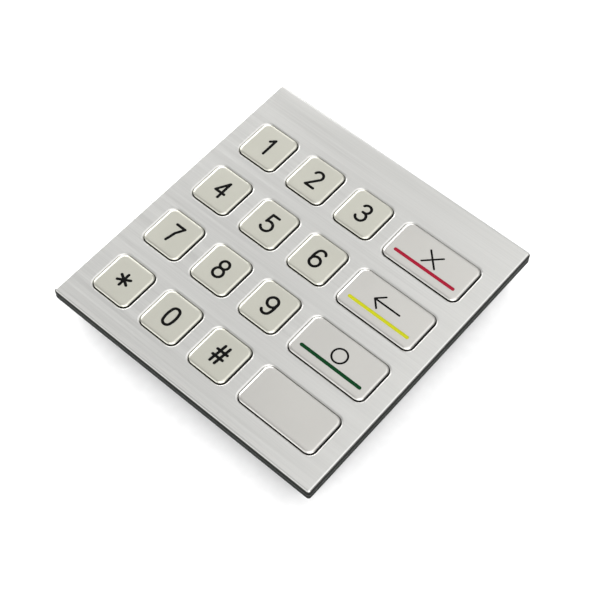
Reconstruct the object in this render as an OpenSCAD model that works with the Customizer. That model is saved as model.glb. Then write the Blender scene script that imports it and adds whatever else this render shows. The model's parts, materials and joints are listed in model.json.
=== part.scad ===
// Panel-mount metal keypad: sixteen sprung keys in a brushed face plate, over a silicone
// key mat and a circuit board, closed by a shallow rear cover.
// The origin is the centre of the flange's rear face, in the middle of the four mounting
// studs. +Z points out of the key faces, +X towards the function keys, +Y to the top row.

/* [Face plate] */
// Width of the face plate and of the backing frame
plate_w = 102; // [98:1:140]
// Height of the face plate and of the backing frame
plate_h = 105; // [102:1:140]
// Thickness of the face plate
plate_t = 2; // [1.8:0.1:4]
// Corner radius of the plate's outline
plate_corner_r = 1; // [0.9:0.1:4]
// Radius of the round along the plate's front edge
plate_edge_round = 0.9; // [0.4:0.1:0.9]
// Width of the shallow round along the front edge of each key aperture
aperture_edge_w = 0.7; // [0.2:0.05:0.8]
// Radius of the shallow round along the front edge of each key aperture
aperture_edge_r = 0.9; // [0.8:0.1:1.6]

/* [Keys] */
// Width of a number key
key_w = 14.2; // [12:0.1:17]
// Height of every key
key_h = 14.8; // [12:0.1:17.8]
// Width of a function key, in the right-hand column
function_key_w = 28.6; // [24:0.1:34.4]
// Corner radius of a key's outline
key_corner_r = 2.4; // [1.5:0.1:4]
// Width of the shallow round along a key's front edge
key_edge_w = 0.9; // [0.3:0.1:1.2]
// Radius of the shallow round along a key's front edge
key_edge_r = 1.2; // [1.2:0.1:2.4]
// How far a key stands out of the plate
key_rise = 0.5; // [0.4:0.1:2]
// Travel of a key
key_travel = 0.7; // [0.4:0.1:1.2]
// Gap between a key and its aperture
key_gap = 0.25; // [0.2:0.05:0.5]
// How far a key's retaining lip reaches under the plate
lip_overlap = 0.5; // [0.3:0.1:0.7]
// Wall left round the hollow underside of a key
key_wall = 1.6; // [1:0.1:2.5]
// Metal left above the hollow underside of a key
key_roof = 1.6; // [1:0.1:2.5]
// Radius of the post that presses the dome
key_post_r = 3; // [2:0.1:4]

/* [Key layout] */
// Plate left and right of the keys
side_margin = 7.1; // [6.8:0.1:12]
// Plate above the keys
top_margin = 15.1; // [9:0.1:25]
// Plate below the keys
bottom_margin = 8.8; // [8.4:0.1:20]

/* [Legends] */
// Height of a digit
digit_h = 7.3; // [5:0.1:8]
// Width of a legend's strokes
legend_stroke = 0.95; // [0.4:0.05:1]
// Depth of the engraved legends
legend_depth = 0.15; // [0.1:0.05:0.3]
// Height of a function symbol
symbol_h = 5.6; // [4:0.1:6]
// Width of the stroke of a function symbol
symbol_stroke = 0.65; // [0.4:0.05:0.8]
// Length of the colour bar on a function key
bar_len = 23.3; // [15:0.1:23.9]
// Width of the colour bar on a function key
bar_w = 1.2; // [0.8:0.1:1.6]
// Distance of the colour bar below the middle of its key
bar_drop = 3.8; // [3.6:0.1:4.2]
// Distance of a function symbol above the middle of its key
symbol_lift = 0.5; // [0:0.1:1]

/* [Backing frame] */
// Thickness of the backing frame
frame_t = 1.8; // [1.8:0.1:3]
// Thickness of the gasket between the face plate and the frame
gasket_t = 0.3; // [0.2:0.05:0.6]
// How far the gasket's edge lies inside the plate's edge
gasket_inset = 0.15; // [0.05:0.05:0.4]
// Depth of the recess in the frame's rear that takes the key mat and the rear cover
seat_depth = 0.2; // [0.1:0.05:0.4]

/* [Mounting] */
// Radius of the mounting studs
stud_r = 1.5; // [1.25:0.25:2]
// Length of the studs behind the flange
stud_len = 7.5; // [5:0.5:9]
// Distance of the studs from the plate's edges
stud_inset = 5; // [4:0.1:5]
// Radius of the collar at a stud's foot, which fills its hole in the frame
stud_collar_r = 2.2; // [2.1:0.1:2.4]

/* [Key mat] */
// Thickness of the silicone sheet
mat_t = 1.2; // [0.9:0.1:1.6]
// Radius of a dome where it leaves the sheet
dome_r = 5.2; // [4.5:0.1:5.6]
// Radius of the block on top of a dome
dome_block_r = 2.9; // [2:0.1:3.2]
// Thickness of a dome's bending wall
dome_wall = 0.45; // [0.3:0.05:0.5]

/* [Circuit board] */
// Thickness of the circuit board
board_t = 1.6; // [1:0.1:2]
// Radius of a contact pad
pad_r = 2.6; // [2:0.1:3]
// Width of the gap between the two halves of a contact pad
pad_split = 0.4; // [0.2:0.1:0.8]
// Number of ways of the interface connector
connector_ways = 8; // [4:1:9]
// Distance between the connector's pins
pin_pitch = 2.5; // [2:0.5:2.5]

/* [Rear cover] */
// Depth of the rear cover behind the flange
cover_depth = 9.6; // [9:0.1:20]
// Wall thickness of the rear cover
cover_wall = 1.2; // [1:0.1:1.5]
// How far the cover reaches beyond the outermost keys
cover_reach = 2.6; // [2.6:0.1:2.8]
// Corner radius of the rear cover
cover_corner_r = 8; // [7:0.5:9]
// Radius of the round along the cover's rear edge
cover_edge_round = 1.5; // [0.5:0.1:2]

/* [Screws] */
// Radius of the board, cover and frame screws
screw_r = 1; // [0.8:0.1:1.25]
// Radius of the screw heads
screw_head_r = 1.9; // [1.6:0.1:2.2]

/* [Clearances] */
// Gap between a retaining lip and the frame that guides it
lip_clearance = 0.3; // [0.2:0.05:0.4]
// Gap that keeps touching parts of different bodies just apart
rest_gap = 0.05; // [0.02:0.01:0.1]
// Gap left under a retaining lip when its key is fully pressed
bottom_gap = 0.1; // [0.05:0.05:0.2]
// Gap between the circuit board and the cover's wall
board_gap = 0.3; // [0.2:0.1:0.5]
// Gap between the rear cover and the wall of its recess in the frame
seat_gap = 0.2; // [0.1:0.05:0.3]
// Radial clearance round the studs and the screw shanks
hole_clearance = 0.1; // [0.05:0.05:0.2]

/* [Hidden] */

$fn = 48;
// Extra depth that carries a cut clear of the surface it starts from
cut = 0.5;

// Key grid: the fourth column holds the wide function keys
key_names = [
    ["1", "2", "3", "cancel"],
    ["4", "5", "6", "correct"],
    ["7", "8", "9", "confirm"],
    ["star", "0", "hash", "blank"]];
rows = len(key_names);
columns = len(key_names[0]);
number_columns = columns - 1;
gap_x = (plate_w - 2 * side_margin - number_columns * key_w - function_key_w) / number_columns;
gap_y = (plate_h - top_margin - bottom_margin - rows * key_h) / (rows - 1);
keys_left = -plate_w / 2 + side_margin;
keys_top = plate_h / 2 - top_margin;
keys_w = plate_w - 2 * side_margin;
keys_h = plate_h - top_margin - bottom_margin;
keys_mid_y = keys_top - keys_h / 2;
function width_of(column) = column < number_columns ? key_w : function_key_w;
function left_of(column) = keys_left + column * (key_w + gap_x);
function key_x(column) = left_of(column) + width_of(column) / 2;
function key_y(row) = keys_top - key_h / 2 - row * (key_h + gap_y);
// Middle of the frame's ribs, right of a column and below a row
function rib_x(column) = left_of(column + 1) - gap_x / 2;
function rib_y(row) = key_y(row) - (key_h + gap_y) / 2;

// Heights of the layers, from the flange's rear face at 0
plate_z = frame_t + gasket_t;
plate_top = plate_z + plate_t;
key_top = plate_top + key_rise;
lip_top = plate_z - rest_gap;
lip_bottom = seat_depth + key_travel + bottom_gap;
dome_top = lip_bottom - rest_gap;
board_top = seat_depth - mat_t;
board_bottom = board_top - board_t;
pad_t = 0.05;
pad_top = board_top + pad_t;
pill_bottom = pad_top + key_travel;
cover_floor = -cover_depth + cover_wall;

// Outlines that follow the keys
lip_reach = key_gap + lip_overlap;
slot_reach = lip_reach + lip_clearance;
cover_w = keys_w + 2 * cover_reach;
cover_h = keys_h + 2 * cover_reach;
board_inset = cover_wall + board_gap;
board_w = cover_w - 2 * board_inset;
board_h = cover_h - 2 * board_inset;
board_corner_r = cover_corner_r - board_inset;

// Screws: the cover's sit at the outer rib crossings, the board's at the ones between
cover_screw_places = [for (row = [0, 2], column = [0, 2]) [rib_x(column), rib_y(row)]];
board_screw_places = [
    [rib_x(1), rib_y(0)], [rib_x(1), rib_y(2)],
    [rib_x(0), rib_y(1)], [rib_x(2), rib_y(1)]];
rib_screw_places = concat(cover_screw_places, board_screw_places);
screw_head_t = 1.2;
// The frame screws stop short of the plate's front face
frame_screw_skin = 0.7;
frame_screw_x = plate_w / 4;
frame_screw_top_y = plate_h / 2 - stud_inset;
frame_screw_bottom_y = -plate_h / 2 + (bottom_margin - cover_reach) / 2;
frame_screw_places = [
    for (side = [-1, 1]) [side * frame_screw_x, frame_screw_top_y],
    for (side = [-1, 1]) [side * frame_screw_x, frame_screw_bottom_y]];
stud_places = [for (x = [-1, 1], y = [-1, 1])
    [x * (plate_w / 2 - stud_inset), y * (plate_h / 2 - stud_inset)]];
stud_tip_chamfer = 0.4;
post_r = 2.4;

// Electronics on the rear of the board, placed behind the middles of keys
connector_x = key_x(3);
connector_y = rib_y(1);
connector_end = 2.45;
connector_l = (connector_ways - 1) * pin_pitch + 2 * connector_end;
connector_w = 5.8;
connector_h = 7;
connector_wall = 0.8;
connector_base = 1.6;
pin_side = 0.64;
window_gap = 0.6;
controller_place = [key_x(1), key_y(2)];
controller_side = 10;
controller_leads = 11;
controller_pitch = 0.8;
driver_place = [key_x(0), key_y(1)];
driver_l = 9.9;
driver_w = 3.9;
driver_leads = 8;
driver_pitch = 1.27;
chip_t = 1.5;
chip_gap = 0.15;
lead_w = 0.35;
lead_l = 1;
lead_t = 0.2;
crystal_place = [key_x(1), rib_y(2) - 11];
crystal_l = 10.5;
crystal_w = 4.4;
crystal_t = 3.4;
// Small parts: length, width and height of a capacitor and of a resistor
capacitor_size = [2, 1.25, 1];
resistor_size = [2, 1.25, 0.5];
small_part_pitch = 3;
capacitor_places = [
    for (i = [-1, 1]) controller_place + [i * (controller_side / 2 + small_part_pitch), 8],
    for (i = [-1, 1]) crystal_place + [i * (crystal_l / 2 + small_part_pitch), 0],
    for (i = [0:2]) driver_place + [(i - 1) * small_part_pitch, -6]];
resistor_places = [for (i = [0:connector_ways - 1])
    [connector_x + (i - (connector_ways - 1) / 2) * small_part_pitch, connector_y + 8]];
label_recess = [34, 16, 0.2];
label_recess_r = 1.5;

// Legends, in units of half a glyph's height, measured along the middle of the strokes.
// A stroke is ["line", from, to] or ["arc", centre, radius, start angle, end angle].
function ring(centre, r) = ["arc", centre, r, 0, 360];
// Oval of half-width a and half-height 1, drawn with four arcs; r is its end radius
function oval(a, r) =
    let (side_r = (a * a + (1 - r) * (1 - r) - r * r) / (2 * (a - r)),
        meet = atan2(1 - r, side_r - a))
    [["arc", [0, 1 - r], r, meet, 180 - meet],
    ["arc", [0, r - 1], r, 180 + meet, 360 - meet],
    ["arc", [a - side_r, 0], side_r, -meet, meet],
    ["arc", [side_r - a, 0], side_r, 180 - meet, 180 + meet]];
function half_turn(strokes) = [for (s = strokes)
    s[0] == "line" ? ["line", -s[1], -s[2]] : ["arc", -s[1], s[2], s[3] + 180, s[4] + 180]];
six = [
    ring([0, -0.44], 0.56),
    ["arc", [0, 0.52], 0.48, 25, 162.5],
    ["arc", [1.65, 0], 2.21, 162.5, 191]];
function legend_of(name) =
    name == "0" ? oval(0.52, 0.45) :
    name == "1" ? [["line", [0.12, -1], [0.12, 1]], ["line", [0.12, 1], [-0.32, 0.58]]] :
    name == "2" ? [
        ["arc", [0, 0.5], 0.5, -38, 165],
        ["line", [0.394, 0.192], [-0.52, -1]],
        ["line", [-0.52, -1], [0.5, -1]]] :
    name == "3" ? [
        ["arc", [-0.02, 0.52], 0.48, -80, 155],
        ["arc", [-0.02, -0.46], 0.54, -158, 85],
        ["line", [-0.14, 0.06], [0.04, 0.06]]] :
    name == "4" ? [
        ["line", [0.24, -1], [0.24, 1]],
        ["line", [0.24, 1], [-0.56, -0.38]],
        ["line", [-0.56, -0.38], [0.56, -0.38]]] :
    name == "5" ? [
        ["line", [0.46, 1], [-0.32, 1]],
        ["line", [-0.32, 1], [-0.43, 0.06]],
        ["arc", [-0.02, -0.39], 0.61, -152, 132]] :
    name == "6" ? six :
    name == "7" ? [
        ["line", [-0.5, 1], [0.52, 1]],
        ["line", [0.52, 1], [0.02, 0.1]],
        ["line", [0.02, 0.1], [-0.2, -1]]] :
    name == "8" ? [ring([0, 0.53], 0.47), ring([0, -0.46], 0.54)] :
    name == "9" ? half_turn(six) :
    name == "star" ? [for (a = [30, 90, 150])
        ["line", [-0.68 * cos(a), -0.68 * sin(a)], [0.68 * cos(a), 0.68 * sin(a)]]] :
    name == "hash" ? [
        ["line", [-0.38, -1], [-0.18, 1]],
        ["line", [0.18, -1], [0.38, 1]],
        ["line", [-0.6, 0.34], [0.6, 0.34]],
        ["line", [-0.6, -0.34], [0.6, -0.34]]] :
    name == "cancel" ? [["line", [-1, -1], [1, 1]], ["line", [-1, 1], [1, -1]]] :
    name == "correct" ? [
        ["line", [-1.9, 0], [1.9, 0]],
        ["line", [-1.9, 0], [-0.9, 1]],
        ["line", [-1.9, 0], [-0.9, -1]]] :
    name == "confirm" ? [ring([0, 0], 1)] : [];

// ---- shapes that repeat ----

module rounded_rect(w, h, r) {
    square([w - 2 * r, h], center = true);
    square([w, h - 2 * r], center = true);
    for (x = [-1, 1], y = [-1, 1])
        translate([x * (w / 2 - r), y * (h / 2 - r)])
            circle(r);
}

// Block with a rounded outline whose edge follows a profile. The child is the profile: its
// Y axis is the axis of a corner, and it fills the block's height beside that axis.
module edged_block(w, h, r, bottom, top) {
    for (quarter = [[1, 1, 0], [-1, 1, 90], [-1, -1, 180], [1, -1, 270]])
        translate([quarter[0] * (w / 2 - r), quarter[1] * (h / 2 - r), 0])
            rotate([0, 0, quarter[2]])
                rotate_extrude(angle = 90)
                    children();
    for (turn = [0, 180])
        rotate([0, 0, turn])
            translate([w / 2 - r, h / 2 - r, 0])
                rotate([90, 0, 0])
                    linear_extrude(h - 2 * r)
                        children();
    for (turn = [90, 270])
        rotate([0, 0, turn])
            translate([h / 2 - r, w / 2 - r, 0])
                rotate([90, 0, 0])
                    linear_extrude(w - 2 * r)
                        children();
    translate([-w / 2 + r, -h / 2 + r, bottom])
        cube([w - 2 * r, h - 2 * r, top - bottom]);
}

// Profile of a block with a quarter round of radius e along its top edge
module round_edge_profile(r, bottom, top, e) {
    translate([0, bottom])
        square([r, top - e - bottom]);
    translate([0, bottom])
        square([r - e, top - bottom]);
    intersection() {
        translate([r - e, top - e])
            circle(e);
        translate([r - e, top - e])
            square(e);
    }
}

// What a shallow round cuts off: the quarter right of and above the origin, outside its circle
module arc_cutter(edge_r) {
    difference() {
        square(edge_r + cut);
        circle(edge_r);
    }
}

// Profile of a block of radius r. Its top edge is a round of width w and radius edge_r,
// which starts flat and grows steeper towards the outside.
module crowned_profile(r, bottom, top, w, edge_r) {
    difference() {
        translate([0, bottom])
            square([r, top - bottom]);
        translate([r - w, top - edge_r])
            arc_cutter(edge_r);
    }
}

// Profile of a hole of radius r, with the same kind of round along its top edge
module eased_hole_profile(r, bottom, top, w, edge_r) {
    translate([0, bottom])
        square([r, top + cut - bottom]);
    translate([r + w, top - edge_r])
        mirror([1, 0])
            arc_cutter(edge_r);
}

module at_keys() {
    for (row = [0:rows - 1], column = [0:columns - 1])
        translate([key_x(column), key_y(row)])
            children();
}

module at_places(places) {
    for (place = places)
        translate(place)
            children();
}

// Openings for the keys' retaining lips, as an outline
module lip_slots() {
    for (row = [0:rows - 1], column = [0:columns - 1])
        translate([key_x(column), key_y(row)])
            rounded_rect(width_of(column) + 2 * slot_reach, key_h + 2 * slot_reach,
                key_corner_r + slot_reach);
}

// One stroke of a legend, as an outline with round ends; u is half the glyph's height
module stroke_outline(s, u, w) {
    if (s[0] == "line") {
        run = (s[2] - s[1]) * u;
        translate(s[1] * u)
            rotate(atan2(run[1], run[0])) {
                translate([0, -w / 2])
                    square([norm(run), w]);
                circle(w / 2);
                translate([norm(run), 0])
                    circle(w / 2);
            }
    } else {
        translate(s[1] * u) {
            rotate(s[3])
                arc_outline(s[2] * u, s[4] - s[3], w);
            for (end = [s[3], s[4]])
                rotate(end)
                    translate([s[2] * u, 0])
                        circle(w / 2);
        }
    }
}

// Ring sector from the X axis round to the given angle
module arc_outline(r, angle, w) {
    difference() {
        circle(r + w / 2);
        circle(r - w / 2);
        if (angle < 360)
            sector_cut(r + w, angle);
    }
}

// Everything within r of the centre that lies outside the angles from 0 to angle
module sector_cut(r, angle) {
    reach = 2 * r;
    steps = ceil((360 - angle) / 60);
    polygon(concat([[0, 0]], [for (i = [0:steps])
        let (a = angle + i * (360 - angle) / steps) reach * [cos(a), sin(a)]]));
}

module legend_cut(name) {
    function_key = name == "cancel" || name == "correct" || name == "confirm";
    w = function_key ? symbol_stroke : legend_stroke;
    u = ((function_key ? symbol_h : digit_h) - w) / 2;
    for (s = legend_of(name))
        translate([0, function_key ? symbol_lift : 0, key_top - legend_depth])
            linear_extrude(legend_depth + cut)
                stroke_outline(s, u, w);
    if (function_key)
        translate([0, -bar_drop, key_top - legend_depth])
            linear_extrude(legend_depth + cut)
                stroke_outline(["line", [(bar_w - bar_len) / 2, 0], [(bar_len - bar_w) / 2, 0]],
                    1, bar_w);
}

// Screw along -Z: a shank from the given height down to its head at z = 0
module pan_screw(length) {
    cylinder(h = length, r = screw_r);
    translate([0, 0, -screw_head_t])
        difference() {
            cylinder(h = screw_head_t, r = screw_head_r);
            cross_recess(screw_head_t / 2);
        }
}

// Countersunk screw whose head is flush with z = 0 and whose shank points along +Z
module flush_screw(length) {
    difference() {
        union() {
            cylinder(h = screw_head_r - screw_r, r1 = screw_head_r, r2 = screw_r);
            cylinder(h = length, r = screw_r);
        }
        cross_recess((screw_head_r - screw_r) * 0.7);
    }
}

// Cross-shaped driver recess, cut upwards from z = 0
module cross_recess(depth) {
    slot_w = screw_head_r / 4;
    slot_l = screw_head_r * 1.2;
    for (turn = [0, 90])
        rotate([0, 0, turn])
            translate([-slot_l / 2, -slot_w / 2, -cut])
                cube([slot_l, slot_w, depth + cut]);
}

// Hole for a countersunk screw, widening towards z = 0
module flush_screw_hole(length) {
    r = screw_r + hole_clearance;
    head_r = screw_head_r + hole_clearance;
    translate([0, 0, -cut])
        cylinder(h = length + 2 * cut, r = r);
    cylinder(h = head_r - r, r1 = head_r, r2 = r);
    translate([0, 0, -cut])
        cylinder(h = cut, r = head_r);
}

// ---- face ----

module front_plate() {
    color([0.80, 0.80, 0.78])
        difference() {
            edged_block(plate_w, plate_h, plate_corner_r, plate_z, plate_top)
                round_edge_profile(plate_corner_r, plate_z, plate_top, plate_edge_round);
            for (row = [0:rows - 1], column = [0:columns - 1])
                translate([key_x(column), key_y(row), 0])
                    key_aperture(width_of(column));
            at_places(frame_screw_places)
                translate([0, 0, plate_z - cut])
                    cylinder(h = plate_t - frame_screw_skin + cut, r = screw_r + hole_clearance);
        }
}

module key_aperture(w) {
    r = key_corner_r + key_gap;
    edged_block(w + 2 * key_gap, key_h + 2 * key_gap, r, plate_z - cut, plate_top + cut)
        eased_hole_profile(r, plate_z - cut, plate_top, aperture_edge_w, aperture_edge_r);
}

module plate_gasket() {
    color([0.10, 0.11, 0.11])
        translate([0, 0, frame_t])
            linear_extrude(gasket_t)
                difference() {
                    rounded_rect(plate_w - 2 * gasket_inset, plate_h - 2 * gasket_inset,
                        plate_corner_r - gasket_inset);
                    lip_slots();
                    at_places(stud_places)
                        circle(stud_collar_r + hole_clearance);
                    at_places(frame_screw_places)
                        circle(screw_r + hole_clearance);
                }
}

module backing_frame() {
    color([0.55, 0.57, 0.56])
        difference() {
            linear_extrude(frame_t)
                difference() {
                    rounded_rect(plate_w, plate_h, plate_corner_r);
                    lip_slots();
                    at_places(stud_places)
                        circle(stud_collar_r + hole_clearance);
                    at_places(rib_screw_places)
                        circle(screw_r + rest_gap);
                }
            at_places(frame_screw_places)
                flush_screw_hole(frame_t);
            translate([0, keys_mid_y, -cut])
                linear_extrude(seat_depth + cut)
                    rounded_rect(cover_w + 2 * seat_gap, cover_h + 2 * seat_gap,
                        cover_corner_r + seat_gap);
        }
}

// ---- keys ----

module key(row, column) {
    w = width_of(column);
    name = key_names[row][column];
    color(column < number_columns ? [0.78, 0.78, 0.73] : [0.81, 0.80, 0.78])
        translate([key_x(column), key_y(row), 0])
            difference() {
                union() {
                    edged_block(w, key_h, key_corner_r, lip_bottom, key_top)
                        crowned_profile(key_corner_r, lip_bottom, key_top, key_edge_w, key_edge_r);
                    translate([0, 0, lip_bottom])
                        linear_extrude(lip_top - lip_bottom)
                            rounded_rect(w + 2 * lip_reach, key_h + 2 * lip_reach,
                                key_corner_r + lip_reach);
                }
                key_hollow(w);
                legend_cut(name);
            }
}

// Hollow of a key's underside, round the post that presses the dome
module key_hollow(w) {
    hollow_r = max(key_corner_r - key_wall, 0.5);
    translate([0, 0, lip_bottom - cut])
        linear_extrude(key_top - key_roof - lip_bottom + cut)
            difference() {
                rounded_rect(w - 2 * key_wall, key_h - 2 * key_wall, hollow_r);
                circle(key_post_r);
            }
}

// ---- key mat ----

module keymat() {
    color([0.20, 0.20, 0.21])
        translate([0, 0, board_top])
            linear_extrude(mat_t)
                difference() {
                    translate([0, keys_mid_y])
                        rounded_rect(board_w, board_h, board_corner_r);
                    at_keys()
                        circle(dome_r);
                    at_places(rib_screw_places)
                        circle(screw_r + 2 * hole_clearance);
                }
}

module dome(row, column) {
    foot = dome_wall;
    color([0.24, 0.24, 0.25])
        translate([key_x(column), key_y(row), 0])
            rotate_extrude()
                polygon([
                    [0, pill_bottom],
                    [dome_block_r - foot, pill_bottom],
                    [dome_block_r - foot, pill_bottom + foot / 2],
                    [dome_r - foot, board_top + foot],
                    [dome_r - foot, board_top],
                    [dome_r, board_top],
                    [dome_r, board_top + 1.5 * foot],
                    [dome_block_r, pill_bottom + foot],
                    [dome_block_r, dome_top],
                    [0, dome_top]]);
}

// ---- electronics ----

module circuit_board() {
    color([0.05, 0.30, 0.16])
        translate([0, 0, board_bottom])
            linear_extrude(board_t)
                difference() {
                    translate([0, keys_mid_y])
                        rounded_rect(board_w, board_h, board_corner_r);
                    at_places(rib_screw_places)
                        circle(screw_r + hole_clearance);
                }
}

module contact_pads() {
    color([0.83, 0.68, 0.30])
        translate([0, 0, board_top])
            linear_extrude(pad_t)
                at_keys()
                    difference() {
                        circle(pad_r);
                        square([pad_split, 3 * pad_r], center = true);
                    }
}

// Chip body that hangs below the board on its leads
module chip_body(length, width) {
    translate([-length / 2, -width / 2, board_bottom - chip_gap - chip_t])
        cube([length, width, chip_t]);
}

// Row of flat leads along X, from a body's side to the board
module lead_row(count, pitch, body_w) {
    for (i = [0:count - 1])
        translate([(i - (count - 1) / 2) * pitch - lead_w / 2, body_w / 2, 0]) {
            translate([0, 0, board_bottom - chip_gap - chip_t / 2])
                cube([lead_w, lead_l / 2, lead_t]);
            translate([0, lead_l / 2, board_bottom - chip_gap - chip_t / 2])
                cube([lead_w, lead_t, chip_gap + chip_t / 2]);
            translate([0, lead_l / 2, board_bottom - lead_t])
                cube([lead_w, lead_l / 2, lead_t]);
        }
}

module controller_chip() {
    color([0.09, 0.09, 0.10])
        translate(controller_place)
            chip_body(controller_side, controller_side);
}

module line_driver_chip() {
    color([0.09, 0.09, 0.10])
        translate(driver_place)
            chip_body(driver_l, driver_w);
}

module chip_leads() {
    color([0.80, 0.80, 0.80]) {
        translate(controller_place)
            for (turn = [0:90:270])
                rotate([0, 0, turn])
                    lead_row(controller_leads, controller_pitch, controller_side);
        translate(driver_place)
            for (turn = [0, 180])
                rotate([0, 0, turn])
                    lead_row(driver_leads, driver_pitch, driver_w);
    }
}

module crystal() {
    color([0.78, 0.78, 0.76])
        translate([crystal_place[0], crystal_place[1], board_bottom - crystal_t])
            linear_extrude(crystal_t)
                rounded_rect(crystal_l, crystal_w, crystal_w / 2 - 0.1);
}

module small_parts(places, size) {
    for (place = places)
        translate([place[0] - size[0] / 2, place[1] - size[1] / 2, board_bottom - size[2]])
            cube(size);
}

module capacitors() {
    color([0.62, 0.50, 0.36])
        small_parts(capacitor_places, capacitor_size);
}

module resistors() {
    color([0.12, 0.12, 0.13])
        small_parts(resistor_places, resistor_size);
}

// Shrouded header that opens to the rear, with a hole through its base for each pin
module interface_connector() {
    color([0.90, 0.89, 0.84])
        translate([connector_x, connector_y, board_bottom - connector_h])
            difference() {
                translate([-connector_l / 2, -connector_w / 2, 0])
                    cube([connector_l, connector_w, connector_h]);
                translate([-connector_l / 2 + connector_wall, -connector_w / 2 + connector_wall,
                        -cut])
                    cube([connector_l - 2 * connector_wall, connector_w - 2 * connector_wall,
                        connector_h - connector_base + cut]);
                at_pins()
                    translate([-pin_side / 2, -pin_side / 2, connector_base])
                        cube([pin_side, pin_side, connector_h]);
            }
}

module at_pins() {
    for (i = [0:connector_ways - 1])
        translate([(i - (connector_ways - 1) / 2) * pin_pitch, 0, 0])
            children();
}

module connector_pins() {
    pin_l = connector_h - connector_wall;
    color([0.85, 0.72, 0.38])
        translate([connector_x, connector_y, board_bottom - pin_l])
            at_pins()
                translate([-pin_side / 2, -pin_side / 2, 0])
                    cube([pin_side, pin_side, pin_l]);
}

// ---- fasteners ----

module board_screws() {
    color([0.72, 0.72, 0.70])
        at_places(board_screw_places)
            translate([0, 0, board_bottom])
                pan_screw(frame_t - board_bottom - bottom_gap);
}

module cover_screws() {
    color([0.30, 0.30, 0.31])
        at_places(cover_screw_places)
            translate([0, 0, -cover_depth])
                flush_screw(cover_depth + frame_t - bottom_gap);
}

module frame_screws() {
    color([0.72, 0.72, 0.70])
        at_places(frame_screw_places)
            flush_screw(plate_top - frame_screw_skin - bottom_gap);
}

module mounting_studs() {
    color([0.70, 0.71, 0.70])
        at_places(stud_places) {
            cylinder(h = plate_z, r = stud_collar_r);
            translate([0, 0, -stud_len + stud_tip_chamfer])
                cylinder(h = stud_len - stud_tip_chamfer + plate_z, r = stud_r);
            translate([0, 0, -stud_len])
                cylinder(h = stud_tip_chamfer, r1 = stud_r - stud_tip_chamfer, r2 = stud_r);
        }
}

// ---- rear cover ----

module rear_cover() {
    color([0.13, 0.13, 0.14])
        difference() {
            union() {
                difference() {
                    translate([0, keys_mid_y, 0])
                        mirror([0, 0, 1])
                            edged_block(cover_w, cover_h, cover_corner_r, -seat_depth,
                                    cover_depth)
                                round_edge_profile(cover_corner_r, -seat_depth, cover_depth,
                                    cover_edge_round);
                    translate([0, keys_mid_y, cover_floor])
                        linear_extrude(-cover_floor + cut)
                            rounded_rect(cover_w - 2 * cover_wall, cover_h - 2 * cover_wall,
                                cover_corner_r - cover_wall);
                }
                at_places(cover_screw_places)
                    translate([0, 0, cover_floor - cover_wall / 2])
                        cylinder(h = board_bottom - cover_floor + cover_wall / 2, r = post_r);
            }
            at_places(cover_screw_places)
                translate([0, 0, -cover_depth])
                    flush_screw_hole(cover_depth);
            connector_window();
            label_pocket();
        }
}

module connector_window() {
    translate([connector_x, connector_y, -cover_depth - cut])
        linear_extrude(cover_wall + 2 * cut)
            square([connector_l + 2 * window_gap, connector_w + 2 * window_gap], center = true);
}

// Shallow recess for a rating label, on the cover's rear face
module label_pocket() {
    translate([key_x(1), key_y(1), -cover_depth - cut])
        linear_extrude(label_recess[2] + cut)
            rounded_rect(label_recess[0], label_recess[1], label_recess_r);
}

front_plate();
plate_gasket();
backing_frame();
for (row = [0:rows - 1], column = [0:columns - 1])
    key(row, column);
keymat();
for (row = [0:rows - 1], column = [0:columns - 1])
    dome(row, column);
circuit_board();
contact_pads();
controller_chip();
line_driver_chip();
chip_leads();
crystal();
capacitors();
resistors();
interface_connector();
connector_pins();
board_screws();
cover_screws();
frame_screws();
mounting_studs();
rear_cover();
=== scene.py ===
"""Looks of a panel-mount metal keypad: materials, paint fills, domes, threads, label and studio."""
import json
import math

import bmesh
import bpy
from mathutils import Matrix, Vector


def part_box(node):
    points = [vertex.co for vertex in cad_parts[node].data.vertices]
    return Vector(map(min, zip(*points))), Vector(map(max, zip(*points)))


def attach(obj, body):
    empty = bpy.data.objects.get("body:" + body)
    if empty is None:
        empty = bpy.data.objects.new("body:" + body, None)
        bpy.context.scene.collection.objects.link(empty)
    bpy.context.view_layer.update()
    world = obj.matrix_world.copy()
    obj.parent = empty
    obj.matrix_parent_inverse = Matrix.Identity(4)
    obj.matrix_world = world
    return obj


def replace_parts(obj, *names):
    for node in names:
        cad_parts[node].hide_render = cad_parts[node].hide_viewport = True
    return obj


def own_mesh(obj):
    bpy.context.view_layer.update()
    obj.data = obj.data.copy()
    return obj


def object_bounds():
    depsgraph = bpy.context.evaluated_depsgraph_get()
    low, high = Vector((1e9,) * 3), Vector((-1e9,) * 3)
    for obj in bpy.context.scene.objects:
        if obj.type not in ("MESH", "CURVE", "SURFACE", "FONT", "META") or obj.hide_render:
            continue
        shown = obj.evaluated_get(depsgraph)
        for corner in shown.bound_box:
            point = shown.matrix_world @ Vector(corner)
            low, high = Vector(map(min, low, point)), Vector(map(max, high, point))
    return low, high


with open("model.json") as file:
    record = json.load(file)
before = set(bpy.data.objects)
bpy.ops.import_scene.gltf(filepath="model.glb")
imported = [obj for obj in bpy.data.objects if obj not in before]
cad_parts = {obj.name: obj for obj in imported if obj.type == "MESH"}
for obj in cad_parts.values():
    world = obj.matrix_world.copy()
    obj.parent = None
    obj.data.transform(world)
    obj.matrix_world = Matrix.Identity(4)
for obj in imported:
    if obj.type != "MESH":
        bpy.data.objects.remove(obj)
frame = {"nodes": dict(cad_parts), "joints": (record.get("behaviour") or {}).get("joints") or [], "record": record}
cad_low, cad_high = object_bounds()

MM = 0.001
KEY_NAMES = [name[len("key_"):] for name in frame["nodes"] if name.startswith("key_")]
BAR_SLOTS = {"cancel": "cancel_red", "correct": "correct_yellow", "confirm": "confirm_green"}
PLATE_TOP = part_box("front_plate")[1].z


# ---- node materials ----

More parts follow.
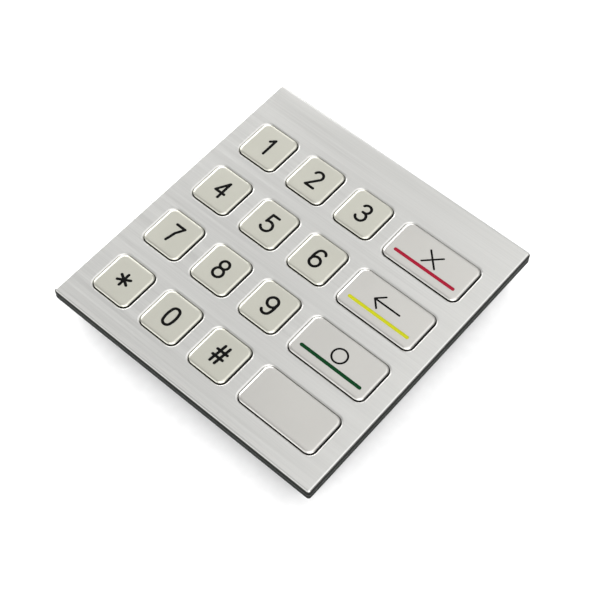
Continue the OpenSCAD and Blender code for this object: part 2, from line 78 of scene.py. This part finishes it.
class Surface:
    """A node material round one Principled shader, fed with the place on the object in metres."""

    def __init__(self, name, constants):
        self.material = bpy.data.materials.new(name)
        self.material.use_nodes = True
        self.tree = self.material.node_tree
        self.shader = self.tree.nodes["Principled BSDF"]
        for socket, value in constants.items():
            if isinstance(value, tuple):
                value = (*value, 1)
            self.shader.inputs[socket].default_value = value
        self.coordinates = self.tree.nodes.new("ShaderNodeTexCoord")

    def link(self, output, socket):
        self.tree.links.new(output, socket)

    def noise(self, per_metre, detail=2.0, roughness=0.5):
        """Noise whose grains are 1/per_metre metres long on each axis, from 0 to 1."""
        mapping = self.tree.nodes.new("ShaderNodeMapping")
        mapping.inputs["Scale"].default_value = per_metre
        self.link(self.coordinates.outputs["Object"], mapping.inputs["Vector"])
        noise = self.tree.nodes.new("ShaderNodeTexNoise")
        noise.inputs["Scale"].default_value = 1
        noise.inputs["Detail"].default_value = detail
        noise.inputs["Roughness"].default_value = roughness
        self.link(mapping.outputs["Vector"], noise.inputs["Vector"])
        return noise.outputs["Fac"]

    def facing_up(self):
        """How far the surface faces +Z, from -1 to 1."""
        parts = self.tree.nodes.new("ShaderNodeSeparateXYZ")
        self.link(self.coordinates.outputs["Normal"], parts.inputs["Vector"])
        return parts.outputs["Z"]

    def height(self):
        """Height on the object in metres."""
        parts = self.tree.nodes.new("ShaderNodeSeparateXYZ")
        self.link(self.coordinates.outputs["Object"], parts.inputs["Vector"])
        return parts.outputs["Z"]

    def ramp(self, value, low, high, at_low, at_high):
        """value from low to high becomes at_low to at_high, with smooth ends."""
        node = self.tree.nodes.new("ShaderNodeMapRange")
        node.interpolation_type = "SMOOTHSTEP"
        node.inputs["From Min"].default_value = low
        node.inputs["From Max"].default_value = high
        node.inputs["To Min"].default_value = at_low
        node.inputs["To Max"].default_value = at_high
        self.link(value, node.inputs["Value"])
        return node.outputs["Result"]

    def blend(self, share, first, second):
        """Colour from first to second as share goes from 0 to 1. Each is a colour or an output."""
        node = self.tree.nodes.new("ShaderNodeMix")
        node.data_type = "RGBA"
        self.link(share, node.inputs["Factor"])
        colour_sockets = [socket for socket in node.inputs if socket.type == "RGBA"]
        for socket, colour in zip(colour_sockets, (first, second)):
            if isinstance(colour, tuple):
                socket.default_value = (*colour, 1)
            else:
                self.link(colour, socket)
        return next(socket for socket in node.outputs if socket.type == "RGBA")

    def colour(self, output):
        self.link(output, self.shader.inputs["Base Color"])

    def edge_tint(self, output):
        """Tint of a metal's reflections at grazing angles."""
        self.link(output, self.shader.inputs["Specular Tint"])

    def roughness(self, output):
        self.link(output, self.shader.inputs["Roughness"])

    def bump(self, height, depth):
        """Bump of the given depth in metres, on top of any earlier bump."""
        node = self.tree.nodes.new("ShaderNodeBump")
        node.inputs["Strength"].default_value = 1
        node.inputs["Distance"].default_value = depth
        self.link(height, node.inputs["Height"])
        earlier = self.shader.inputs["Normal"].links
        if earlier:
            self.link(earlier[0].from_socket, node.inputs["Normal"])
        self.link(node.outputs["Normal"], self.shader.inputs["Normal"])


def shade(colour, factor):
    return tuple(min(c * factor, 1.0) for c in colour)


def brushed_steel(name, colour, roughness, shaded_side_colour):
    """Plate steel: long fine streaks along X, faint handling clouds, and painted shade on the side walls, darker
    in colour and dimmer in reflection.
    """
    s = Surface(name, {"Metallic": 1.0})
    streaks = s.noise((14, 2400, 2400), detail=4, roughness=0.65)
    hairlines = s.noise((60, 9000, 9000), detail=2)
    clouds = s.noise((25, 25, 25), detail=3)
    steel = s.blend(s.ramp(streaks, 0.3, 0.7, 0, 1), shade(colour, 0.955), shade(colour, 1.035))
    smudged = s.blend(s.ramp(clouds, 0.35, 0.75, 0, 0.3), steel, shade(colour, 0.97))
    # Painted shade: faces turned sideways take the dark side colour and a grey reflection tint, while faces turned
    # up keep the steel
    unshaded_share = s.ramp(s.facing_up(), 0.5, 0.88, 0, 1)
    s.colour(s.blend(unshaded_share, shaded_side_colour, smudged))
    s.edge_tint(s.blend(unshaded_share, (0.45, 0.45, 0.45), (1, 1, 1)))
    s.roughness(s.ramp(streaks, 0.25, 0.75, roughness - 0.04, roughness + 0.06))
    s.bump(streaks, 0.0025 * MM)
    s.bump(hairlines, 0.0015 * MM)
    return s.material


def satin_metal(name, colour, roughness, gap_shade_colour, gap_shade_top):
    """Blasted key metal: very fine even grain, with painted shade on the sides below the given height, down in the
    gap round the key.
    """
    s = Surface(name, {"Metallic": 1.0})
    grain = s.noise((5000, 5000, 5000), detail=3, roughness=0.6)
    brush = s.noise((120, 3800, 3800), detail=2)
    clouds = s.noise((60, 60, 60), detail=3)
    metal = s.blend(s.ramp(clouds, 0.3, 0.75, 0, 1), shade(colour, 1.015), shade(colour, 0.96))
    grained = s.blend(s.ramp(grain, 0.35, 0.65, 0, 0.5), metal, shade(colour, 0.94))
    # Painted shade: below the top of the gap the key's sides take the dark colour
    s.colour(s.blend(s.ramp(s.height(), gap_shade_top - 0.2 * MM, gap_shade_top, 0, 1), gap_shade_colour, grained))
    s.roughness(s.ramp(grain, 0.3, 0.7, roughness - 0.05, roughness + 0.05))
    s.bump(grain, 0.003 * MM)
    s.bump(brush, 0.0012 * MM)
    return s.material


def plain_metal(name, colour, roughness, grain_per_metre, grain_depth):
    """Small metal parts: colour and gloss vary a little with the grain."""
    s = Surface(name, {"Metallic": 1.0})
    grain = s.noise(grain_per_metre, detail=3)
    s.colour(s.blend(s.ramp(grain, 0.3, 0.7, 0, 1), shade(colour, 0.86), shade(colour, 1.06)))
    s.roughness(s.ramp(grain, 0.25, 0.75, roughness * 0.8, roughness * 1.3))
    s.bump(grain, grain_depth)
    return s.material


def moulded(name, colour, roughness, grain_mm, grain_depth, specular=0.5):
    """Moulded plastic, rubber or ceramic: a fine even texture with slow changes of tone."""
    s = Surface(name, {"Specular IOR Level": specular})
    per_metre = 1 / (grain_mm * MM)
    grain = s.noise((per_metre, per_metre, per_metre), detail=3, roughness=0.6)
    clouds = s.noise((40, 40, 40), detail=2)
    toned = s.blend(s.ramp(clouds, 0.3, 0.7, 0, 1), shade(colour, 0.92), shade(colour, 1.08))
    s.colour(s.blend(s.ramp(grain, 0.35, 0.65, 0, 0.3), toned, shade(colour, 0.8)))
    s.roughness(s.ramp(grain, 0.25, 0.75, roughness - 0.07, roughness + 0.07))
    s.bump(grain, grain_depth)
    return s.material


def paint(name, colour):
    """Enamel filled into the engraving: slightly uneven tone, satin gloss, and a fine orange peel."""
    s = Surface(name, {"Specular IOR Level": 0.03})
    peel = s.noise((3500, 3500, 3500), detail=2)
    s.colour(s.blend(s.ramp(peel, 0.3, 0.7, 0, 1), shade(colour, 0.9), shade(colour, 1.1)))
    s.roughness(s.ramp(peel, 0.3, 0.7, 0.38, 0.55))
    s.bump(peel, 0.004 * MM)
    return s.material


def solder_mask(name):
    """Green board lacquer, lighter where it covers the tracks."""
    s = Surface(name, {"Coat Weight": 0.4, "Coat Roughness": 0.15})
    tracks = s.noise((300, 900, 300), detail=0)
    weave = s.noise((2500, 2500, 2500), detail=2)
    mask = s.blend(s.ramp(tracks, 0.5, 0.53, 0, 1), (0.012, 0.105, 0.045), (0.03, 0.20, 0.09))
    s.colour(s.blend(s.ramp(weave, 0.4, 0.7, 0, 0.4), mask, (0.01, 0.08, 0.035)))
    s.roughness(s.ramp(weave, 0.3, 0.7, 0.25, 0.4))
    s.bump(tracks, 0.02 * MM)
    return s.material


# Below this height the keys' sides carry painted shade, as they sit down in the gap round each key
KEY_GAP_SHADE_TOP = PLATE_TOP - 0.1 * MM
MATERIALS = {
    # The last colour of each steel is the painted shade on its side walls
    "face_plate": brushed_steel("plate_steel", (0.531, 0.529, 0.513), 0.32, (0.035, 0.036, 0.034)),
    "backing_frame": brushed_steel("frame_steel", (0.45, 0.46, 0.45), 0.42, (0.05, 0.054, 0.051)),
    # The last two arguments of each key metal: the painted shade colour of its sides in the gap, and the height
    # below which it lies
    "number_keys": satin_metal("number_key_metal", (0.51, 0.505, 0.445), 0.34, (0.05, 0.05, 0.045),
        KEY_GAP_SHADE_TOP),
    "function_keys": satin_metal("function_key_metal", (0.508, 0.499, 0.474), 0.34,
        (0.05, 0.05, 0.045), KEY_GAP_SHADE_TOP),
    "gasket": moulded("gasket_rubber", (0.10, 0.105, 0.10), 0.75, 0.2, 0.01 * MM, 0.3),
    "silicone": moulded("silicone_rubber", (0.035, 0.035, 0.037), 0.6, 0.3, 0.006 * MM, 0.4),
    "circuit_board": solder_mask("board_lacquer"),
    "contact_pads": plain_metal("gold_plate", (0.83, 0.62, 0.24), 0.25, (4000, 4000, 4000), 0.002 * MM),
    "chip_bodies": moulded("chip_epoxy", (0.018, 0.018, 0.02), 0.55, 0.12, 0.006 * MM),
    "chip_leads": plain_metal("tinned_leads", (0.72, 0.72, 0.72), 0.3, (3000, 3000, 3000), 0.002 * MM),
    "crystal_can": plain_metal("can_metal", (0.70, 0.69, 0.66), 0.22, (200, 2000, 2000), 0.002 * MM),
    "capacitors": moulded("capacitor_ceramic", (0.36, 0.24, 0.14), 0.4, 0.15, 0.004 * MM),
    "resistors": moulded("resistor_glaze", (0.015, 0.015, 0.017), 0.3, 0.2, 0.003 * MM),
    "connector_body": moulded("connector_nylon", (0.78, 0.76, 0.68), 0.45, 0.4, 0.006 * MM),
    "connector_pins": plain_metal("pin_gold", (0.85, 0.66, 0.30), 0.22, (2500, 2500, 2500), 0.002 * MM),
    "plated_screws": plain_metal("zinc_plate", (0.66, 0.67, 0.66), 0.3, (900, 900, 900), 0.004 * MM),
    "black_screws": plain_metal("black_oxide", (0.06, 0.06, 0.065), 0.4, (900, 900, 900), 0.004 * MM),
    "studs": plain_metal("stud_steel", (0.62, 0.63, 0.62), 0.28, (500, 500, 9000), 0.003 * MM),
    "rear_cover": moulded("cover_plastic", (0.022, 0.022, 0.025), 0.5, 0.35, 0.02 * MM),
    "legend_ink": paint("black_paint", (0.003, 0.003, 0.003)),
    "cancel_red": paint("red_paint", (0.25, 0.009, 0.025)),
    "correct_yellow": paint("yellow_paint", (0.385, 0.39, 0.011)),
    "confirm_green": paint("green_paint", (0.003, 0.034, 0.010)),
    "label_foil": moulded("label_foil", (0.55, 0.55, 0.54), 0.35, 0.5, 0.002 * MM),
}


def paint_cad_nodes():
    for part in frame["record"]["subparts"]:
        mesh = frame["nodes"][part["node"]].data
        mesh.materials.clear()
        mesh.materials.append(MATERIALS[part["material_slot"]])


# ---- pieces ----

def add_piece(name, mesh, slot, body):
    piece = bpy.data.objects.new(name, mesh)
    bpy.context.scene.collection.objects.link(piece)
    mesh.materials.append(MATERIALS[slot])
    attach(piece, body)
    return piece


def mesh_from(bm, name, smooth_angle=None):
    """Closed mesh from bm. Edges flatter than smooth_angle, in degrees, are shaded smooth."""
    bmesh.ops.recalc_face_normals(bm, faces=bm.faces)
    if smooth_angle is not None:
        for face in bm.faces:
            face.smooth = True
        for edge in bm.edges:
            edge.smooth = edge.calc_face_angle(math.pi) < math.radians(smooth_angle)
    mesh = bpy.data.meshes.new(name)
    bm.to_mesh(mesh)
    bm.free()
    return mesh


def engraved_floors(key):
    """The floor of each engraving in a key's face, as lists of polygons' corners."""
    mesh = frame["nodes"][key].data
    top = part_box(key)[1].z
    # A floor is level, deeper than the skin of the face and no deeper than an engraving
    flat = 0.9999
    skin = 0.02 * MM
    deepest = 0.25 * MM
    return [[mesh.vertices[i].co.copy() for i in p.vertices] for p in mesh.polygons
            if p.normal.z > flat and top - deepest < p.center.z < top - skin]


def islands(bm):
    """Groups of faces that are joined to each other."""
    left = set(bm.faces)
    while left:
        group, edge_of_group = set(), [left.pop()]
        while edge_of_group:
            face = edge_of_group.pop()
            group.add(face)
            near = {f for e in face.edges for f in e.link_faces} & left
            left -= near
            edge_of_group += near
        yield group


def paint_fill(key, keep, name):
    """Paint that fills the engravings whose middle passes keep, with a soft edge below the face."""
    bm = bmesh.new()
    for corners in engraved_floors(key):
        bm.faces.new([bm.verts.new(c) for c in corners])
    bmesh.ops.remove_doubles(bm, verts=bm.verts, dist=0.001 * MM)
    for group in list(islands(bm)):
        middle = sum((f.calc_center_median() * f.calc_area() for f in group), Vector())
        middle /= sum(f.calc_area() for f in group)
        if not keep(middle):
            bmesh.ops.delete(bm, geom=list(group), context="FACES")
    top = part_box(key)[1].z
    # The paint's outer edge and its middle end this far below the face
    shoulder, crown = 0.06 * MM, 0.02 * MM
    edge_width = 0.07 * MM
    lifted = bmesh.ops.extrude_face_region(bm, geom=bm.faces[:], use_keep_orig=True)
    for vert in (v for v in lifted["geom"] if isinstance(v, bmesh.types.BMVert)):
        vert.co.z = top - shoulder
    roof = [f for f in lifted["geom"] if isinstance(f, bmesh.types.BMFace)]
    bmesh.ops.inset_region(bm, faces=roof, thickness=edge_width, depth=0, use_even_offset=True)
    for vert in {v for f in roof for v in f.verts}:
        vert.co.z = top - crown
    return mesh_from(bm, name, smooth_angle=60)


def fill_legends():
    """Black paint in the digits and symbols, and a colour bar in each labelled function key."""
    # On a function key, the bar lies further than this below the middle and the symbol doesn't
    bar_distance = 2.5 * MM
    for key in KEY_NAMES:
        if key == "blank":
            continue
        low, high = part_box("key_" + key)
        bar_line = (low.y + high.y) / 2 - bar_distance
        has_bar = key in BAR_SLOTS
        name = "legend_" + key
        ink = paint_fill("key_" + key, lambda middle: not has_bar or middle.y > bar_line, name)
        add_piece(name, ink, "legend_ink", "key_" + key)
        if has_bar:
            name = "bar_" + key
            bar = paint_fill("key_" + key, lambda middle: middle.y < bar_line, name)
            add_piece(name, bar, BAR_SLOTS[key], "key_" + key)


def lathe(profile, centre, name):
    """Closed mesh turned from (radius, height) points round a vertical axis through centre."""
    segments = 40
    bm = bmesh.new()
    rings = []
    for radius, height in profile:
        if radius == 0:
            rings.append([bm.verts.new((centre.x, centre.y, height))])
            continue
        ring = []
        for i in range(segments):
            turn = 2 * math.pi * i / segments
            place = (centre.x + radius * math.cos(turn), centre.y + radius * math.sin(turn), height)
            ring.append(bm.verts.new(place))
        rings.append(ring)
    for first, second in zip(rings, rings[1:] + rings[:1]):
        if len(first) == len(second) == 1:
            continue
        for i in range(segments):
            j = (i + 1) % segments
            corners = [first[i % len(first)], first[j % len(first)],
                       second[j % len(second)], second[i % len(second)]]
            bm.faces.new(list(dict.fromkeys(corners)))
    return mesh_from(bm, name, smooth_angle=35)


def buckle_domes():
    """Silicone domes with rounded walls, each with room under its block for its own key's travel."""
    wall = 0.45 * MM
    ease = wall / 4
    # The block on top of a dome, as a share of the dome's radius, and the contact pad below it
    block_share = 0.56
    pad_height = 0.05 * MM
    for key in KEY_NAMES:
        name = "dome_" + key
        low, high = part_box(name)
        centre = (low + high) / 2
        foot_r = (high.x - low.x) / 2
        block_r = block_share * foot_r
        joint = next(joint for joint in frame["joints"] if joint["name"] == "press_" + key)
        travel = joint["range_m"][1]
        pill = low.z + pad_height + travel
        profile = [
            (0, pill), (block_r - wall, pill), (block_r - wall, pill + wall / 2),
            (foot_r - wall, low.z + wall), (foot_r - wall, low.z), (foot_r, low.z),
            (foot_r, low.z + wall * 1.3), (foot_r - ease, low.z + wall * 1.55),
            (block_r + ease, pill + wall * 0.9), (block_r, pill + wall * 1.2),
            (block_r, high.z - ease), (block_r - ease, high.z), (0, high.z)]
        piece = add_piece("silicone_" + name, lathe(profile, centre, name), "silicone", "panel")
        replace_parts(piece, name)
        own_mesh(piece)


def threaded_stud(bm, centre, radius, collar, tip, top):
    """Stud along Z: a rolled M3 thread from its chamfered tip, and a collar from z = 0 to top."""
    pitch, depth = 0.5 * MM, 0.27 * MM
    # Corners round the stud, and rings in each turn of the thread
    sides, steps = 32, 8
    chamfer = 0.4 * MM
    thread_end = -0.6 * MM
    rows = round((thread_end - tip) / pitch * steps)

    def ring(height, radius_at):
        places = []
        for i in range(sides):
            angle = 2 * math.pi * i / sides
            r = radius_at(i / sides)
            places.append(bm.verts.new((centre.x + r * math.cos(angle),
                centre.y + r * math.sin(angle), height)))
        return places

    def thread(height):
        """Radius of the thread at this height, by the share of a full turn."""
        fade = min((thread_end - height) / pitch, 1)
        limit = radius - chamfer + (height - tip)

        def radius_at(turn):
            phase = ((height - tip) / pitch - turn) % 1
            return min(radius - fade * depth * (1 - abs(2 * phase - 1)), limit)
        return radius_at

    heights = [tip + (thread_end - tip) * i / rows for i in range(rows + 1)]
    rings = [ring(height, thread(height)) for height in heights]
    rings += [ring(0, lambda turn: radius), ring(0, lambda turn: collar),
              ring(top, lambda turn: collar)]
    for first, second in zip(rings, rings[1:]):
        for i in range(sides):
            j = (i + 1) % sides
            bm.faces.new((first[i], first[j], second[j], second[i]))
    bm.faces.new(rings[0])
    bm.faces.new(rings[-1])


def cut_threads():
    """The four mounting studs again, with their threads."""
    mounts = {mount["name"]: mount for mount in frame["record"]["mounts"]}
    dims = mounts["panel_studs"]["dims"]
    half_x = dims["spacing_x_mm"] * MM / 2
    half_y = dims["spacing_y_mm"] * MM / 2
    low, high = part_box("mounting_studs")
    bm = bmesh.new()
    for x in (-half_x, half_x):
        for y in (-half_y, half_y):
            threaded_stud(bm, Vector((x, y, 0)), dims["stud_r_mm"] * MM, high.x - half_x,
                low.z, high.z)
    mesh = mesh_from(bm, "threaded_studs", smooth_angle=35)
    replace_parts(add_piece("threaded_studs", mesh, "studs", "panel"), "mounting_studs")


def add_label():
    """Blank foil label in its recess on the back of the cover, behind the key for 5."""
    low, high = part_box("key_5")
    middle = (low + high) / 2
    half = Vector((16.8, 7.8)) * MM
    corner = 1.3 * MM
    corner_steps = 6
    bottom = cad_low.z + 0.04 * MM
    thickness = 0.14 * MM
    outline = []
    for turn, side_x, side_y in ((0, 1, 1), (1, -1, 1), (2, -1, -1), (3, 1, -1)):
        for step in range(corner_steps + 1):
            angle = math.pi / 2 * (turn + step / corner_steps)
            outline.append((middle.x + side_x * (half.x - corner) + corner * math.cos(angle),
                middle.y + side_y * (half.y - corner) + corner * math.sin(angle)))
    bm = bmesh.new()
    face = bm.faces.new([bm.verts.new((x, y, bottom)) for x, y in outline])
    lifted = bmesh.ops.extrude_face_region(bm, geom=[face], use_keep_orig=True)
    for vert in (v for v in lifted["geom"] if isinstance(v, bmesh.types.BMVert)):
        vert.co.z += thickness
    add_piece("label", mesh_from(bm, "label"), "label_foil", "panel")


# ---- stage ----

def add_floor():
    """Plain pale floor under the keypad, which lies on its rear cover."""
    s = Surface("floor_paper", {"Specular IOR Level": 0.2, "Roughness": 0.8})
    fibres = s.noise((300, 300, 300), detail=3)
    s.colour(s.blend(s.ramp(fibres, 0.3, 0.7, 0, 1), (0.90, 0.90, 0.90), (0.93, 0.93, 0.93)))
    half = 6.0
    mesh = bpy.data.meshes.new("floor")
    corners = [(-half, -half), (half, -half), (half, half), (-half, half)]
    mesh.from_pydata([(x, y, cad_low.z) for x, y in corners], [], [(0, 1, 2, 3)])
    mesh.materials.append(s.material)
    floor = bpy.data.objects.new("floor", mesh)
    bpy.context.scene.collection.objects.link(floor)


def aim(thing, target):
    thing.rotation_euler = (Vector(target) - thing.location).to_track_quat("-Z", "Y").to_euler()


def add_softbox(name, place, size, power):
    light = bpy.data.lights.new(name, "AREA")
    light.shape = "RECTANGLE"
    light.size, light.size_y = size
    light.energy = power
    box = bpy.data.objects.new(name, light)
    box.location = place
    aim(box, (0, 0, 0))
    bpy.context.scene.collection.objects.link(box)


def add_room():
    """Pale room: windows low on the left and in front, a glow overhead, a black card on the right."""
    world = bpy.data.worlds.new("studio")
    bpy.context.scene.world = world
    world.use_nodes = True
    nodes, links = world.node_tree.nodes, world.node_tree.links
    direction = nodes.new("ShaderNodeTexCoord").outputs["Generated"]
    room_level = 0.715
    # Each glow: its centre, how closely a direction meets it at its start and in full, its strength
    glows = [
        ((-0.87, 0.48, 0.1), 0.73, 0.93, 4.5),
        ((-0.3, -0.9, 0.2), 0.84, 0.97, 1.8),
        ((0.24, 0.41, 0.88), 0.81, 0.96, 1.2),
        ((0.9, 0.4, 0.1), 0.7, 0.92, -0.66)]
    strength = None
    for centre, start, full, amount in glows:
        closeness = nodes.new("ShaderNodeVectorMath")
        closeness.operation = "DOT_PRODUCT"
        closeness.inputs[1].default_value = Vector(centre).normalized()
        links.new(direction, closeness.inputs[0])
        tone = nodes.new("ShaderNodeMapRange")
        tone.interpolation_type = "SMOOTHSTEP"
        tone.inputs["From Min"].default_value = start
        tone.inputs["From Max"].default_value = full
        tone.inputs["To Max"].default_value = amount
        links.new(closeness.outputs["Value"], tone.inputs["Value"])
        total = nodes.new("ShaderNodeMath")
        total.inputs[1].default_value = room_level
        links.new(tone.outputs["Result"], total.inputs[0])
        if strength:
            links.new(strength, total.inputs[1])
        strength = total.outputs["Value"]
    links.new(strength, nodes["Background"].inputs["Strength"])
    nodes["Background"].inputs["Color"].default_value = (1, 1, 1, 1)


def add_camera():
    """Looks down on the keypad from its lower right corner."""
    camera = bpy.data.cameras.new("camera")
    camera.sensor_width = 36
    camera.lens = 84.1
    camera.clip_start = 0.01
    view = bpy.data.objects.new("camera", camera)
    view.location = Vector((148.95, -169.8, 366.7)) * MM
    bpy.context.scene.collection.objects.link(view)
    aim(view, Vector((8.05, -6.6, 4.1)) * MM)
    bpy.context.scene.camera = view


paint_cad_nodes()
fill_legends()
buckle_domes()
cut_threads()
add_label()
add_floor()
add_room()
add_softbox("front_fill", (0.9, -0.7, 1.1), (1.6, 1.6), 20)
add_camera()
bpy.context.scene.view_settings.view_transform = "Standard"
